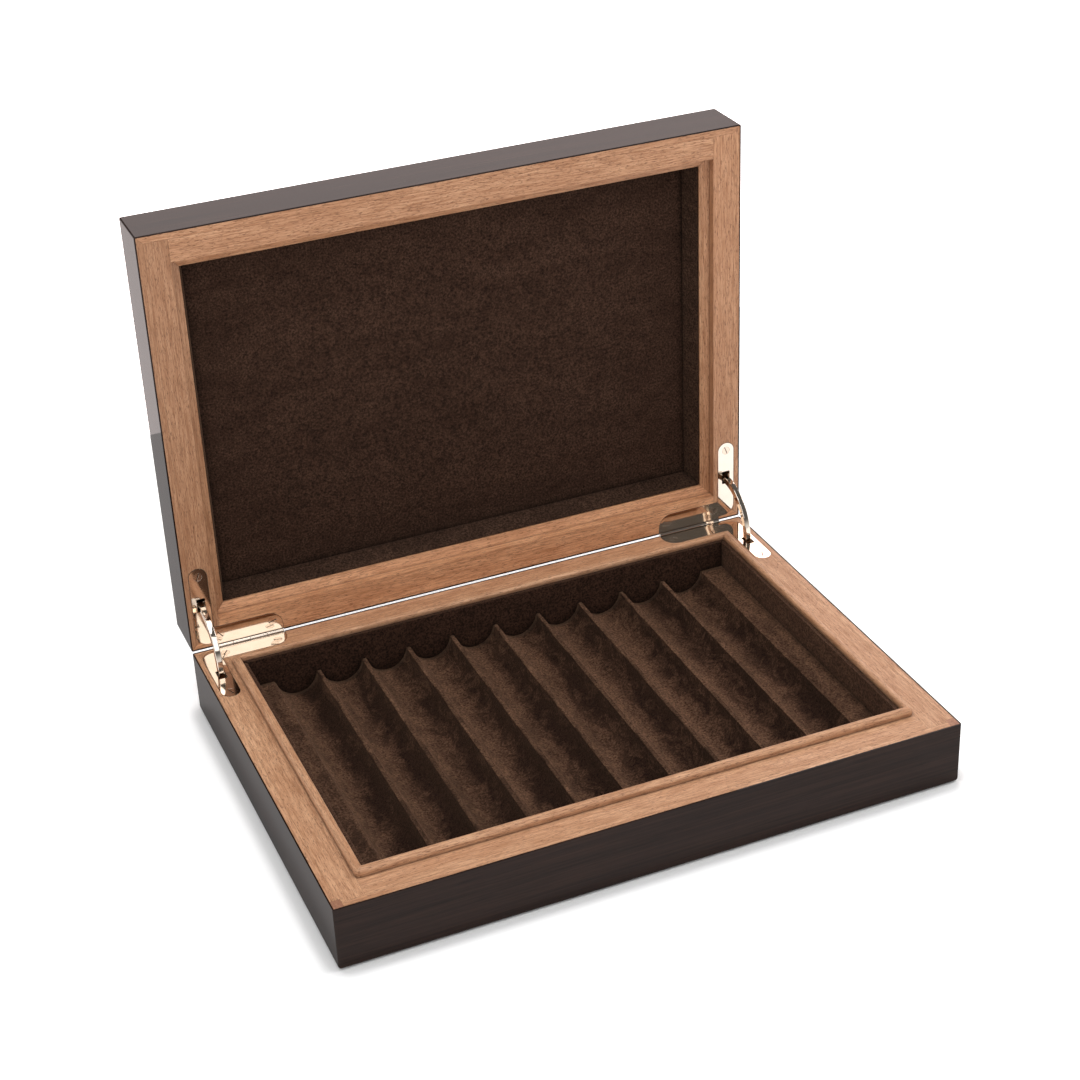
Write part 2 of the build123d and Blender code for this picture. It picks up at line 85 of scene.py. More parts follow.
# ---------------------------------------------------------------- boards
SIDES = ("front", "right", "back", "left")
BASE_GRAIN = {"front": "X", "right": "Y", "back": "X", "left": "Y"}
LID_GRAIN = {"front": "X", "right": "Z", "back": "X", "left": "Z"}

# Painted light and shade on each board, as how light it is against the mean, set by how the light
# falls on its side; and the warmth of the base's and the lid's timber.
BOARD_PAINTED_LIGHT = {
    "base": {"front": 1.03, "right": 0.96, "back": 1.08, "left": 1.03},
    "lid": {"front": 0.88, "right": 0.91, "back": 1.18, "left": 0.75},
}
BOARD_WARMTH = {"base": (0.96, 1.01, 1.03), "lid": (1.0, 0.98, 0.93)}

# Each board's figure is taken from its own place in the pattern: its shift goes by these shares
# along X, Y and Z.
SHIFT_SHARES = (1.0, 0.7, 1.3)
SIDE_SHIFT = 3.1
LAYER_SHIFT = 1.7
PART_SHIFT = {"base": 0.0, "lid": 11.0}

# ---------------------------------------------------------------- widths of the eased edges
TIMBER_EDGE = 0.12 * MM
VENEER_EDGE = 0.10 * MM
METAL_EDGE = 0.28 * MM
ARM_EDGE = 0.45 * MM
SCREW_EDGE = 0.16 * MM
LINING_EDGE = 0.7 * MM
BEVEL_EDGE = 0.45 * MM
FELT_EDGE = 0.2 * MM

WELD_REACH = 1e-6
FLAT_DEGREES = 0.5           # faces that turn by less than this are one face
HARD_EDGE_DEGREES = 40       # edges sharper than this are eased, on the hard pieces
SOFT_EDGE_DEGREES = 30       # and on the soft ones
HARD_SMOOTH_DEGREES = 35     # edges that turn by less than this are shaded as round
SOFT_SMOOTH_DEGREES = 50
SHEET_SMOOTH_DEGREES = 60
FACE_AREA_WEIGHT = 100       # shading follows the large faces far more than the small ones

# ---------------------------------------------------------------- sizes of the soft pieces
PEN_COUNT = 10
PEN_PITCH = 26.5 * MM
GROOVE_RADIUS = 12.0 * MM
GROOVE_DEPTH = 11.0 * MM
GROOVE_WALL_SLOPE = 8        # steepness of the groove's wall beyond its round part
RIDGE_SOFTNESS = 1.3 * MM
SUEDE_THICK = 0.8 * MM
SUEDE_SINK = 0.1 * MM        # lowers the uneven suede, so that it stays within its solid

TRAY_ROW_STEP = 3.2 * MM
TRAY_WIDEST_STEP = 1.1 * MM
TRAY_FINEST_STEP = 0.22 * MM
TRAY_STEP_PER_SLOPE = 1.6    # how much a slope shortens the step across it
SLOPE_PROBE = 0.1 * MM       # distance over which the slope is taken

PANEL_STEP = 3.0 * MM
PANEL_CROWN = 0.7 * MM
PANEL_CROWN_POWER = 4        # a higher power makes the crown's middle flatter
PANEL_EDGE = 2.2 * MM
PANEL_TUCK = 0.5             # depth of the tucked edge against its width

# Unevenness of the glued suede: repeats per metre along two axes, place in the pattern, height.
TRAY_WAVE = (60, 35, 0.0, 0.22 * MM)
TRAY_RIPPLE = (260, 170, 4.0, 0.10 * MM)
PANEL_WAVE = (22, 22, 7.0, 0.16 * MM)


# ---------------------------------------------------------------- colours
def linear(red, green, blue):
    """A colour given in display values, 0 to 255, as the shader's linear colour."""
    def channel(value):
        value /= 255
        return value / 12.92 if value <= 0.04045 else ((value + 0.055) / 1.055) ** 2.4
    return (channel(red), channel(green), channel(blue), 1.0)


TIMBER_DEEP = linear(200, 148, 112)
TIMBER_PALE = linear(223, 173, 136)
TIMBER_FIGURE = linear(186, 130, 92)
TIMBER_FIBRE = linear(168, 115, 80)
TIMBER_PORE = linear(112, 68, 42)
KEY_DEEP = linear(140, 94, 70)
KEY_PALE = linear(178, 128, 98)
KEY_RING = linear(128, 84, 62)
VENEER_DEEP = linear(24, 15, 12)
VENEER_PALE = linear(40, 27, 23)
VENEER_STREAK = linear(56, 38, 30)
VENEER_FLECK = linear(14, 10, 9)
BOARD_DEEP = linear(170, 140, 104)
BOARD_PALE = linear(200, 172, 134)
ROSE_GOLD = linear(235, 222, 208)
SCREW_METAL = linear(226, 206, 188)
METAL_HAZE = linear(228, 208, 190)
SUEDE_SHEEN = linear(190, 150, 120)
FLOOR_DEEP = (0.93, 0.93, 0.93, 1)
FLOOR_PALE = (0.95, 0.95, 0.95, 1)
BACKDROP_COLOUR = (0.9, 0.9, 0.9, 1)

# ---------------------------------------------------------------- sizes of the patterns
# Repeats per metre: along the grain or the nap, and across it.
TIMBER_BROAD_SIZE = (9, 70)
TIMBER_FIGURE_SIZE = (90, 160)
TIMBER_FIBRE_SIZE = (70, 1300)
TIMBER_PORE_SIZE = (380, 3000)
VENEER_BAND_SIZE = (2.5, 110)
VENEER_STREAK_SIZE = (12, 900)
VENEER_FLECK_SIZE = (60, 2600)
SUEDE_STROKE_SIZE = (14, 48)

# Repeats per metre: along X, Y and Z.
KEY_SPECKLE_SIZE = (1800, 1800, 1800)
KEY_RING_SIZE = (260, 90, 90)
SUEDE_PATCH_SIZE = (90, 60, 90)
SUEDE_NAP_SIZE = (850, 850, 850)
SUEDE_GRIT_SIZE = (2600, 2600, 2600)
METAL_HAZE_SIZE = (160, 160, 160)
METAL_RIPPLE_SIZE = (420, 420, 420)
BOARD_GRAIN_SIZE = (20, 600, 600)
FLOOR_MOTTLE_SIZE = (3, 3, 3)

# Takes the suede's patches from another place in the pattern than its strokes.
SUEDE_PATCH_SHIFT = (3.0, 1.0, 2.0)

# ---------------------------------------------------------------- shares in the patterns
PORE_COVER = 0.75            # how far a pore hides the timber's colour
PORE_DEPTH = 0.8             # against the height of the fibres
STROKE_SHARE = 0.55          # of the suede's mottling
PATCH_SHARE = 0.45
GRIT_DEPTH = 0.5             # against the height of the nap
HAZE_DULLING = 1.8           # roughness of the hazy metal against the bright

# ---------------------------------------------------------------- heights of the fine relief
TIMBER_RELIEF = 0.08 * MM
KEY_RELIEF = 0.05 * MM
VENEER_RELIEF = 0.02 * MM
SUEDE_RELIEF = 0.3 * MM
METAL_RELIEF = 0.01 * MM

# How far painted shade reaches out of a corner, and how dark it gets.
TIMBER_PAINTED_SHADE = (1.6 * MM, 0.45)
SUEDE_PAINTED_SHADE = (5 * MM, 0.5)
METAL_PAINTED_SHADE = (0.9 * MM, 0.05)
PAINTED_SHADE_SAMPLES = 8
PAINTED_SHADE_CLOSED = 0.45        # openness at which the painted shade is darkest
PAINTED_SHADE_OPEN = 0.95          # and at which the painted shade ends


# ---------------------------------------------------------------- shader building blocks
COLOUR_A, COLOUR_B, COLOUR_RESULT = 6, 7, 2      # sockets of a Mix node that mixes colours


class Shader:
    """A node material under construction."""

    def __init__(self, name):
        self.material = bpy.data.materials.new(name)
        self.material.use_nodes = True
        self.tree = self.material.node_tree
        self.surface = self.tree.nodes["Principled BSDF"]

    def node(self, kind, inputs=None, **settings):
        """A new node with its settings made and its inputs fed."""
        made = self.tree.nodes.new("ShaderNode" + kind)
        for key, value in settings.items():
            setattr(made, key, value)
        for key, value in (inputs or {}).items():
            self.feed(made.inputs[key], value)
        return made

    def feed(self, socket, value):
        """Link a socket to another one, or give it a plain value."""
        if isinstance(value, bpy.types.NodeSocket):
            self.tree.links.new(value, socket)
        else:
            socket.default_value = value

    def set(self, **inputs):
        """Feed sockets of the surface; an underscore stands for a space in a socket's name."""
        for key, value in inputs.items():
            self.feed(self.surface.inputs[key.replace("_", " ")], value)

    def place(self, scale, shift=(0.0, 0.0, 0.0)):
        """Object coordinates stretched by a scale per axis, in repeats per metre."""
        coordinate = self.node("TexCoord").outputs["Object"]
        made = self.node("Mapping", {"Vector": coordinate, "Scale": scale, "Location": shift})
        return made.outputs["Vector"]

    def noise(self, place, detail=3.0, roughness=0.55, distortion=0.0):
        """A smooth random pattern, mostly between a third and two thirds."""
        made = self.node("TexNoise", {"Vector": place, "Scale": 1.0, "Detail": detail})
        self.feed(made.inputs["Roughness"], roughness)
        self.feed(made.inputs["Distortion"], distortion)
        return made.outputs["Fac"]

    def span(self, value, low, high, to_low=0.0, to_high=1.0):
        """Stretch a value between two limits, clamped."""
        made = self.node(
            "MapRange",
            {"Value": value, "From Min": low, "From Max": high, "To Min": to_low, "To Max": to_high},
        )
        return made.outputs["Result"]

    def compute(self, operation, first, second):
        """Arithmetic on two values."""
        return self.node("Math", {0: first, 1: second}, operation=operation).outputs[0]

    def dot(self, vector, direction):
        """The dot product of two vectors."""
        made = self.node("VectorMath", {0: vector, 1: direction}, operation="DOT_PRODUCT")
        return made.outputs["Value"]

    def mix(self, factor, first, second, blend="MIX"):
        """One colour laid over another by a factor."""
        made = self.node("Mix", data_type="RGBA", blend_type=blend)
        self.feed(made.inputs["Factor"], factor)
        self.feed(made.inputs[COLOUR_A], first)
        self.feed(made.inputs[COLOUR_B], second)
        return made.outputs[COLOUR_RESULT]

    def multiply(self, first, second):
        """One colour times another, or times a value."""
        return self.mix(1.0, first, second, "MULTIPLY")

    def openness(self, reach, **settings):
        """1 in the open, and less where other surfaces are within reach."""
        return self.node("AmbientOcclusion", {"Distance": reach}, **settings).outputs["AO"]

    def painted_corner_shade(self, reach, darkest):
        """Painted shade: 1 in the open, down to a darkest value in corners and joints."""
        openness = self.openness(reach, samples=PAINTED_SHADE_SAMPLES)
        return self.span(openness, PAINTED_SHADE_CLOSED, PAINTED_SHADE_OPEN, darkest, 1.0)

    def bump(self, height, distance, strength=1.0):
        """Fine relief in the shading, a distance high."""
        made = self.node("Bump", {"Height": height, "Distance": distance, "Strength": strength})
        self.feed(self.surface.inputs["Normal"], made.outputs["Normal"])


def along(axis, length_scale, cross_scale):
    """Repeats per metre, few along one axis and many across it."""
    return tuple(length_scale if name == axis else cross_scale for name in "XYZ")


# ---------------------------------------------------------------- materials
def timber_material(axis, shift, tone):
    """Pale mahogany-like timber with its grain along one axis; each board's tone holds painted light
    and shade for its side, and the part's warmth.
    """
    shader = Shader(f"light_timber_{axis}_{shift:g}")
    offset = tuple(shift * share for share in SHIFT_SHARES)
    broad_place = shader.place(along(axis, *TIMBER_BROAD_SIZE), offset)
    figure_place = shader.place(along(axis, *TIMBER_FIGURE_SIZE), offset)
    fibre_place = shader.place(along(axis, *TIMBER_FIBRE_SIZE), offset)
    pore_place = shader.place(along(axis, *TIMBER_PORE_SIZE), offset)
    broad = shader.noise(broad_place, detail=2, distortion=0.6)
    figure = shader.noise(figure_place, detail=3)
    fibre = shader.noise(fibre_place, detail=4, roughness=0.7)
    pores = shader.span(shader.noise(pore_place, detail=2), low=0.57, high=0.66)

    figure_cover = shader.span(figure, low=0.35, high=0.7, to_high=0.35)
    fibre_cover = shader.span(fibre, low=0.40, high=0.62, to_high=0.85)
    pore_cover = shader.compute("MULTIPLY", pores, PORE_COVER)
    colour = shader.mix(shader.span(broad, low=0.3, high=0.7), TIMBER_DEEP, TIMBER_PALE)
    colour = shader.mix(figure_cover, colour, TIMBER_FIGURE)
    colour = shader.mix(fibre_cover, colour, TIMBER_FIBRE)
    colour = shader.mix(pore_cover, colour, TIMBER_PORE)
    # painted light and shade for the board's side, with the part's warmth
    colour = shader.multiply(colour, tone)
    # painted shade in corners and joints
    colour = shader.multiply(colour, shader.painted_corner_shade(*TIMBER_PAINTED_SHADE))
    roughness = shader.span(fibre, low=0.2, high=0.8, to_low=0.38, to_high=0.55)
    shader.set(Base_Color=colour, Roughness=roughness, Specular_IOR_Level=0.4)

    pore_depth = shader.compute("MULTIPLY", pores, PORE_DEPTH)
    shader.bump(shader.compute("SUBTRACT", fibre, pore_depth), TIMBER_RELIEF)
    return shader.material


def end_grain_material():
    """End grain of the glued keys: darker and speckled."""
    shader = Shader("key_end_grain")
    speckle = shader.noise(shader.place(KEY_SPECKLE_SIZE), detail=3)
    rings = shader.noise(shader.place(KEY_RING_SIZE), detail=2)
    ring_cover = shader.span(rings, low=0.4, high=0.6, to_high=0.5)
    colour = shader.mix(shader.span(speckle, low=0.35, high=0.65), KEY_DEEP, KEY_PALE)
    colour = shader.mix(ring_cover, colour, KEY_RING)
    shader.set(Base_Color=colour, Roughness=0.5)
    shader.bump(speckle, KEY_RELIEF)
    return shader.material


def veneer_material(axis):
    """Near-black striped veneer under gloss lacquer, its stripes along one axis."""
    shader = Shader(f"dark_veneer_{axis}")
    band_place = shader.place(along(axis, *VENEER_BAND_SIZE))
    streak_place = shader.place(along(axis, *VENEER_STREAK_SIZE))
    fleck_place = shader.place(along(axis, *VENEER_FLECK_SIZE))
    bands = shader.noise(band_place, detail=3, distortion=0.4)
    streaks = shader.noise(streak_place, detail=5, roughness=0.65)
    flecks = shader.noise(fleck_place, detail=2)

    streak_cover = shader.span(streaks, low=0.42, high=0.72, to_high=0.7)
    fleck_cover = shader.span(flecks, low=0.55, high=0.7, to_high=0.5)
    colour = shader.mix(shader.span(bands, low=0.32, high=0.68), VENEER_DEEP, VENEER_PALE)
    colour = shader.mix(streak_cover, colour, VENEER_STREAK)
    colour = shader.mix(fleck_cover, colour, VENEER_FLECK)
    roughness = shader.span(streaks, low=0.2, high=0.8, to_low=0.32, to_high=0.44)
    shader.set(Base_Color=colour, Roughness=roughness, Specular_IOR_Level=0.0)
    shader.set(Coat_Weight=0.29, Coat_Roughness=0.035, Coat_IOR=1.5)
    shader.bump(streaks, VENEER_RELIEF)
    return shader.material


def brushed_tone(shader, nap_axis, contrast):
    """Soft mottling along the way the suede was stroked, about a middle tone."""
    stroke_place = shader.place(along(nap_axis, *SUEDE_STROKE_SIZE))
    patch_place = shader.place(SUEDE_PATCH_SIZE, SUEDE_PATCH_SHIFT)
    strokes = shader.noise(stroke_place, detail=4, roughness=0.6, distortion=1.2)
    patches = shader.noise(patch_place, detail=4, roughness=0.65, distortion=1.6)
    strokes = shader.span(strokes, low=0.36, high=0.64)
    patches = shader.span(patches, low=0.44, high=0.58)
    stroke_part = shader.compute("MULTIPLY", strokes, STROKE_SHARE)
    patch_part = shader.compute("MULTIPLY", patches, PATCH_SHARE)
    mottling = shader.compute("ADD", stroke_part, patch_part)
    darkest, lightest = 0.5 - contrast / 2, 0.5 + contrast / 2
    return shader.span(mottling, low=0.0, high=1.0, to_low=darkest, to_high=lightest)


def painted_slope_light(shader, tone, painted_lit_side, painted_light_drift):
    """Painted light and shade on a tone: lighter on slopes that face a direction, darker on those that
    face away, and rising slowly along another.
    """
    facing = shader.dot(shader.node("TexCoord").outputs["Normal"], painted_lit_side)
    # painted light that rises along a direction across the piece
    rise = shader.dot(shader.node("TexCoord").outputs["Object"], painted_light_drift)
    # painted light on slopes that face the lit side, painted shade on the others
    painted_facing_light = shader.span(facing, low=-0.60, high=0.20, to_low=-0.46, to_high=0.30)
    painted_tone = shader.compute("ADD", shader.compute("ADD", tone, painted_facing_light), rise)
    return shader.span(painted_tone, low=0.0, high=1.0)


def suede_material(name, nap_axis, dark, light, contrast=1.0, painted_lit_side=None, painted_light_drift=(0.0, 0.0, 0.0)):
    """Brushed suede: soft mottling along the way it was stroked, and a fine speckled nap.

    Where a lit side is given, slopes that face it get painted light and the others painted shade,
    and the tone rises along a given direction, per metre, as painted light; corners get painted shade.
    """
    shader = Shader(name)
    tone = brushed_tone(shader, nap_axis, contrast)
    # painted light and shade on the slopes and across the piece
    if painted_lit_side:
        tone = painted_slope_light(shader, tone, painted_lit_side, painted_light_drift)
    nap = shader.noise(shader.place(SUEDE_NAP_SIZE), detail=3, roughness=0.75)
    grit = shader.noise(shader.place(SUEDE_GRIT_SIZE), detail=1)
    speckle = shader.span(nap, low=0.36, high=0.64, to_low=1.85, to_high=0.20)
    grit_cover = shader.span(grit, low=0.5, high=0.75, to_high=0.35)
    colour = shader.multiply(shader.mix(tone, dark, light), speckle)
    colour = shader.mix(grit_cover, colour, light)
    # painted shade in corners and joints
    colour = shader.multiply(colour, shader.painted_corner_shade(*SUEDE_PAINTED_SHADE))
    shader.set(Base_Color=colour, Roughness=0.95, Specular_IOR_Level=0.1)
    shader.set(Sheen_Weight=0.22, Sheen_Roughness=0.45, Sheen_Tint=SUEDE_SHEEN)
    grit_height = shader.compute("MULTIPLY", grit, GRIT_DEPTH)
    shader.bump(shader.compute("ADD", nap, grit_height), SUEDE_RELIEF, strength=0.8)
    return shader.material


def metal_material(name, colour, roughness):
    """Polished plate with the faint haze and ripple of buffing."""
    shader = Shader(name)
    haze = shader.noise(shader.place(METAL_HAZE_SIZE), detail=3)
    ripple = shader.noise(shader.place(METAL_RIPPLE_SIZE), detail=2)
    tint = shader.mix(shader.span(haze, low=0.3, high=0.7, to_high=0.35), colour, METAL_HAZE)
    # painted shade in corners and joints
    tint = shader.multiply(tint, shader.painted_corner_shade(*METAL_PAINTED_SHADE))
    dulled = roughness * HAZE_DULLING
    gloss = shader.span(haze, low=0.3, high=0.7, to_low=roughness, to_high=dulled)
    shader.set(Base_Color=tint, Metallic=1.0, Roughness=gloss)
    shader.bump(ripple, METAL_RELIEF, strength=0.5)
    return shader.material


def board_material():
    """Plain board, out of sight."""
    shader = Shader("plain_board")
    grain = shader.noise(shader.place(BOARD_GRAIN_SIZE), detail=3)
    shader.set(Base_Color=shader.mix(grain, BOARD_DEEP, BOARD_PALE), Roughness=0.7)
    return shader.material


def floor_material():
    """Pale matt floor that glows faintly, more so far off, with a painted contact shadow in its glow
    close to the case.
    """
    shader = Shader("pale_floor")
    mottle = shader.noise(shader.place(FLOOR_MOTTLE_SIZE), detail=1)
    shader.set(Base_Color=shader.mix(mottle, FLOOR_DEEP, FLOOR_PALE), Roughness=0.9)
    place = shader.node("TexCoord").outputs["Object"]
    distance = shader.node("VectorMath", {0: place}, operation="LENGTH").outputs["Value"]
    glow = shader.span(distance, NEAR_FLOOR, FAR_FLOOR, FLOOR_GLOW, FAR_FLOOR_GLOW)
    # painted contact shadow: the floor's glow fades close to the case
    painted_shadow = shader.span(shader.openness(PAINTED_SHADOW_REACH), PAINTED_SHADOW_DARK, PAINTED_SHADOW_CLEAR)
    shader.set(Specular_IOR_Level=0.0, Emission_Color=WHITE + (1.0,))
    shader.set(Emission_Strength=shader.compute("MULTIPLY", glow, painted_shadow))
    return shader.material


def backdrop_material():
    """Bright and evenly lit."""
    shader = Shader("bright_backdrop")
    shader.set(Base_Color=BACKDROP_COLOUR, Roughness=1.0)
    shader.set(Emission_Color=WARM_WHITE + (1.0,), Emission_Strength=BACKDROP_GLOW)
    return shader.material


# ---------------------------------------------------------------- finishing the CAD pieces
def smooth(piece, degrees):
    """Shade as round all edges that turn by less than an angle."""
    piece.data.set_sharp_from_angle(angle=math.radians(degrees))
    for polygon in piece.data.polygons:
        polygon.use_smooth = True


def weld_points(piece):
    """Join the points that neighbouring faces share."""
    weld = piece.modifiers.new("Weld", "WELD")
    weld.merge_threshold = WELD_REACH


def join_flat_faces(piece):
    """Make one face of the triangles that lie flat together, so that edges ease cleanly."""
    flat = piece.modifiers.new("Whole flat faces", "DECIMATE")
    flat.decimate_type = "DISSOLVE"
    flat.angle_limit = math.radians(FLAT_DEGREES)


def ease_edges(piece, name, width, degrees, segments):
    """Round every edge sharper than an angle."""
    bevel = piece.modifiers.new(name, "BEVEL")
    bevel.width = width
    bevel.segments = segments
    bevel.limit_method = "ANGLE"
    bevel.angle_limit = math.radians(degrees)
    return bevel


def keep_faces_flat(piece):
    """Let the large faces decide the shading, so that they look flat beside their eased edges."""
    even = piece.modifiers.new("Flat faces stay flat", "WEIGHTED_NORMAL")
    even.keep_sharp = False
    even.weight = FACE_AREA_WEIGHT


def dress(name, material, edge):
    """Give a CAD piece its material and slightly eased edges."""
    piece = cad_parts[name]
    piece.data.materials.clear()
    piece.data.materials.append(material)
    weld_points(piece)
    join_flat_faces(piece)
    bevel = ease_edges(piece, "Eased edges", edge, HARD_EDGE_DEGREES, segments=2)
    bevel.harden_normals = True
    keep_faces_flat(piece)
    smooth(piece, HARD_SMOOTH_DEGREES)


def board_painted_light_and_warmth(part, side):
    """Painted light and shade of a board's side, and the part's warmth, against the mean."""
    level = BOARD_PAINTED_LIGHT[part][side]
    return tuple(level * share for share in BOARD_WARMTH[part]) + (1.0,)


def dress_side(part, side, index, axis):
    """The boards and the veneer of one side of the base or of the lid."""
    inner = "lip" if part == "base" else "ledge"
    # the side's painted light and shade, with the part's warmth
    tone = board_painted_light_and_warmth(part, side)
    for layer, member in enumerate(("wall", "facing", inner)):
        shift = SIDE_SHIFT * index + LAYER_SHIFT * layer + PART_SHIFT[part]
        dress(f"{part}_{side}_{member}", timber_material(axis, shift, tone), TIMBER_EDGE)
    dress(f"{part}_{side}_veneer", VENEERS[axis], VENEER_EDGE)


def dress_case():
    """Timber and veneer of the base and the lid."""
    for part, grain in (("base", BASE_GRAIN), ("lid", LID_GRAIN)):
        for index, side in enumerate(SIDES):
            dress_side(part, side, index, grain[side])
    dress("lid_top_veneer", VENEERS["X"], VENEER_EDGE)
    dress("base_corner_keys", end_grain_material(), TIMBER_EDGE)
    for name in ("base_bottom_panel", "lid_top_panel", "tray_former"):
        dress(name, BOARD, TIMBER_EDGE)


def dress_hinges():
    """Polished leaves, pins, arms and screws."""
    gold = metal_material("polished_rose_gold", ROSE_GOLD, roughness=0.05)
    bright = metal_material("polished_screw_heads", SCREW_METAL, roughness=0.10)
    for side in ("left", "right"):
        dress(f"{side}_base_leaf", gold, METAL_EDGE)
        dress(f"{side}_lid_leaf", gold, METAL_EDGE)
        dress(f"{side}_quadrant_arm", gold, ARM_EDGE)
        dress(f"{side}_hinge_pin", gold, SCREW_EDGE)
    for name in ("base_leaf_screws", "lid_leaf_screws"):
        dress(name, bright, SCREW_EDGE)


# ---------------------------------------------------------------- suede pieces
def new_piece(name, points, faces, material, body, node):
    """A mesh piece that rides on a body and stands for a CAD node."""
    mesh = bpy.data.meshes.new(name)
    mesh.from_pydata(points, [], faces)
    mesh.validate()
    piece = bpy.data.objects.new(name, mesh)
    bpy.context.scene.collection.objects.link(piece)
    mesh.materials.append(material)
    smooth(piece, SHEET_SMOOTH_DEGREES)
    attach(piece, body)
    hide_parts(node)
    return piece


def grid_faces(columns, rows):
    """Quads of a sheet whose points run along its columns first."""
    return [
        (i + j * columns, i + 1 + j * columns, i + 1 + (j + 1) * columns, i + (j + 1) * columns)
        for j in range(rows - 1)
        for i in range(columns - 1)
    ]


def spread(low, high, step):
    """Evenly spaced places from low to high, about a step apart."""
    count = max(2, math.ceil((high - low) / step) + 1)
    return [low + (high - low) * i / (count - 1) for i in range(count)]


def unevenness(first, second, pattern):
    """A small smooth height, either way, at a place on a glued sheet."""
    first_scale, second_scale, layer, height = pattern
    return noise.noise(Vector((first * first_scale, second * second_scale, layer))) * height


def soft_min(first, second, softness):
    """The smaller of two heights, with the corner between them rounded."""
    blend = max(softness - abs(first - second), 0.0) / softness
    return min(first, second) - blend * blend * softness / 4


def groove_centre(index):
    """Where a groove's middle lies across the pens."""
    return (index - (PEN_COUNT - 1) / 2) * PEN_PITCH


def tray_height(x, top):
    """Height of the suede across the pens."""
    offset = min(abs(x - groove_centre(index)) for index in range(PEN_COUNT))
    centre = top - GROOVE_DEPTH + GROOVE_RADIUS
    if offset >= GROOVE_RADIUS:
        groove = centre + (offset - GROOVE_RADIUS) * GROOVE_WALL_SLOPE
    else:
        groove = centre - math.sqrt(GROOVE_RADIUS ** 2 - offset ** 2)
    return soft_min(groove, top, RIDGE_SOFTNESS)


def tray_columns(low, high):
    """Places across the tray, close together at the ridges and wider in the grooves."""
    places = [low]
    while places[-1] < high - SLOPE_PROBE:
        x = places[-1]
        rise = abs(tray_height(x + SLOPE_PROBE, 0) - tray_height(x - SLOPE_PROBE, 0))
        slope = rise / (2 * SLOPE_PROBE)
        step = TRAY_WIDEST_STEP / (1 + TRAY_STEP_PER_SLOPE * slope)
        places.append(min(high, x + max(TRAY_FINEST_STEP, step)))
    return places


def make_tray():
    """Suede over the grooves: uneven by a fraction of a millimetre, as glued suede is."""
    low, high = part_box("tray_suede")
    xs = tray_columns(low.x, high.x)
    ys = spread(low.y, high.y, TRAY_ROW_STEP)
    points = []
    for y in ys:
        for x in xs:
            shifted = x + unevenness(x, y, TRAY_WAVE)
            z = tray_height(shifted, high.z) + unevenness(x, y, TRAY_RIPPLE) - SUEDE_SINK
            points.append((x, y, min(z, high.z)))
    faces = grid_faces(len(xs), len(ys))
    piece = new_piece("tray_suede_cover", points, faces, TRAY_SUEDE, "base", "tray_suede")
    solidify = piece.modifiers.new("Suede thickness", "SOLIDIFY")
    solidify.thickness = SUEDE_THICK
    solidify.offset = -1


def copy_node(node, name, material, body, edge, segments=3):
    """A soft piece formed from a CAD piece, with its edges rounded."""
    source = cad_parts[node]
    piece = bpy.data.objects.new(name, source.data.copy())
    bpy.context.scene.collection.objects.link(piece)
    piece.data.materials.clear()
    piece.data.materials.append(material)
    weld_points(piece)
    ease_edges(piece, "Soft edges", edge, SOFT_EDGE_DEGREES, segments)
    keep_faces_flat(piece)
    smooth(piece, SOFT_SMOOTH_DEGREES)
    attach(piece, body)
    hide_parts(node)


def panel_front(xs, zs, face_y):
    """Points of the panel's face: crowned, gently uneven, and tucked down at the edges."""
    points = []
    for z in zs:
        for x in xs:
            edge = min(x - xs[0], xs[-1] - x, z - zs[0], zs[-1] - z)
            tuck = max(0.0, 1 - edge / PANEL_EDGE) ** 2 * PANEL_EDGE * PANEL_TUCK
            across = 2 * (x - xs[0]) / (xs[-1] - xs[0]) - 1
            upward = 2 * (z - zs[0]) / (zs[-1] - zs[0]) - 1
            crown = (1 - across ** PANEL_CROWN_POWER) * (1 - upward ** PANEL_CROWN_POWER) * PANEL_CROWN
            wave = max(unevenness(x, z, PANEL_WAVE), 0.0)
            points.append((x, face_y + PANEL_CROWN - crown + tuck + wave, z))
    return points


def sheet_rim(columns, rows):
    """Points round the edge of a sheet, in order."""
    bottom = list(range(columns))
    right = [columns - 1 + j * columns for j in range(1, rows)]
    top = [(rows - 1) * columns + i for i in range(columns - 2, -1, -1)]
    left = [j * columns for j in range(rows - 2, 0, -1)]
    return bottom + right + top + left


def make_lid_panel():
    """Padded suede panel in the lid, crowned a little and tucked down round its edges."""
    low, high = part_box("lid_suede_panel")
    xs = spread(low.x, high.x, PANEL_STEP)
    zs = spread(low.z, high.z, PANEL_STEP)
    front = panel_front(xs, zs, low.y)
    back = [(x, high.y, z) for x, _, z in front]
    count = len(front)
    faces = grid_faces(len(xs), len(zs))
    faces += [tuple(count + i for i in reversed(face)) for face in grid_faces(len(xs), len(zs))]
    rim = sheet_rim(len(xs), len(zs))
    faces += [(rim[k - 1], rim[k - 1] + count, rim[k] + count, rim[k]) for k in range(len(rim))]
    piece = new_piece("lid_suede_pad", front + back, faces, LID_SUEDE, "lid", "lid_suede_panel")


def make_suede():
    """Every suede and felt piece."""
    make_tray()
    make_lid_panel()
    for side in SIDES:
        # the left and right linings take a lighter copy of the lining suede: painted light
        lining = SIDE_LINING_SUEDE_PAINTED_LIGHT if side in ("left", "right") else LINING_SUEDE
        board = f"base_{side}_suede_board"
        copy_node(f"base_{side}_lining", board, lining, "base", LINING_EDGE)
        bevel = f"lid_{side}_suede_bevel"
        copy_node(f"lid_{side}_bevel", bevel, BEVEL_SUEDE, "lid", BEVEL_EDGE)
    copy_node("base_felt", "base_felt_cloth", FELT, "base", FELT_EDGE, segments=2)


